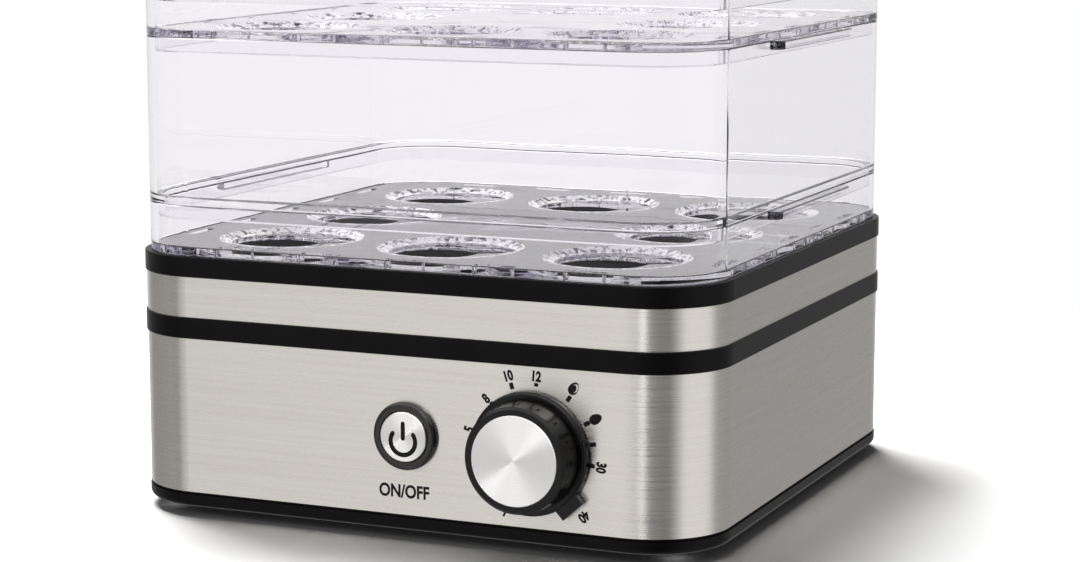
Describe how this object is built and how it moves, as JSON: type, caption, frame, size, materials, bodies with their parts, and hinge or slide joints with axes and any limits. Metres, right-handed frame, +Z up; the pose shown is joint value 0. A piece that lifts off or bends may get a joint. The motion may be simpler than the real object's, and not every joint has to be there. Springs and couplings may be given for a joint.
{
  "type": "egg cooker",
  "caption": "Square two-tier egg cooker: steel-clad base with water bowl, timer dial and push button, stacked clear egg trays, steam chamber and a clear lid with a handle",
  "frame": {"origin": "on the table under the middle of the base", "axes": "+Z up, -Y the side with the controls, +X to the right of someone facing the controls"},
  "size_m": [0.205, 0.2231, 0.2444],
  "materials": {
    "black_trim": "satin moulded",
    "chassis_resin": "matte moulded",
    "brushed_sheet": "brushed round the body",
    "foot_rubber": "matte",
    "seal_silicone": "matte",
    "bowl_coating": "non-stick coating",
    "plated_steel": "zinc plated",
    "heater_alloy": "cast",
    "component_resin": "matte moulded",
    "fuse_case": "plated",
    "knob_gloss": "gloss moulded",
    "spun_aluminium": "spun in circles",
    "button_satin": "spun in circles",
    "stem_resin": "moulded",
    "clear_resin": "clear, polished"
  },
  "bodies": {
    "base": {"base_plate": "black_trim", "rubber_feet": "foot_rubber", "tie_screws": "plated_steel", "lower_sleeve": "brushed_sheet", "middle_trim": "black_trim", "upper_band": "brushed_sheet", "chassis": "chassis_resin", "top_rim": "black_trim", "bowl_seal": "seal_silicone", "water_bowl": "bowl_coating", "bowl_nuts": "plated_steel", "heating_element": "heater_alloy", "thermostat": "component_resin", "fuse_clip": "plated_steel", "thermal_fuse": "fuse_case", "timer_body": "component_resin", "timer_nut": "plated_steel", "button_bezel": "knob_gloss", "button_spring": "plated_steel", "switch_body": "component_resin", "cord_gland": "foot_rubber", "terminal_block": "component_resin"},
    "dial": {"timer_shaft": "plated_steel", "dial_knob": "knob_gloss", "knob_cap": "spun_aluminium"},
    "button": {"button_cap": "button_satin", "button_stem": "stem_resin"},
    "lower_tray": {"lower_egg_tray": "clear_resin"},
    "chamber": {"steam_chamber": "clear_resin"},
    "upper_tray": {"upper_egg_tray": "clear_resin"},
    "cover": {"lid": "clear_resin", "lid_handle": "knob_gloss", "handle_screws": "plated_steel"}
  },
  "joints": [
    {"name": "dial_turn", "type": "hinge", "parent": "base", "child": "dial", "pos_m": [0.045, -0.1, 0.0314], "axis": [0, -1, 0], "range_deg": [0, 294]},
    {"name": "button_press", "type": "slide", "parent": "base", "child": "button", "axis": [0, 1, 0], "range_m": [0, 0.002], "stiffness_N_per_m": 800, "deforming": ["button_spring"]},
    {"name": "lower_tray_lift", "type": "slide", "parent": "base", "child": "lower_tray", "axis": [0, 0, 1], "range_m": [0, 0.1]},
    {"name": "chamber_lift", "type": "slide", "parent": "lower_tray", "child": "chamber", "axis": [0, 0, 1], "range_m": [0, 0.1]},
    {"name": "upper_tray_lift", "type": "slide", "parent": "chamber", "child": "upper_tray", "axis": [0, 0, 1], "range_m": [0, 0.1]},
    {"name": "lid_lift", "type": "slide", "parent": "upper_tray", "child": "cover", "axis": [0, 0, 1], "range_m": [0, 0.1]}
  ]
}
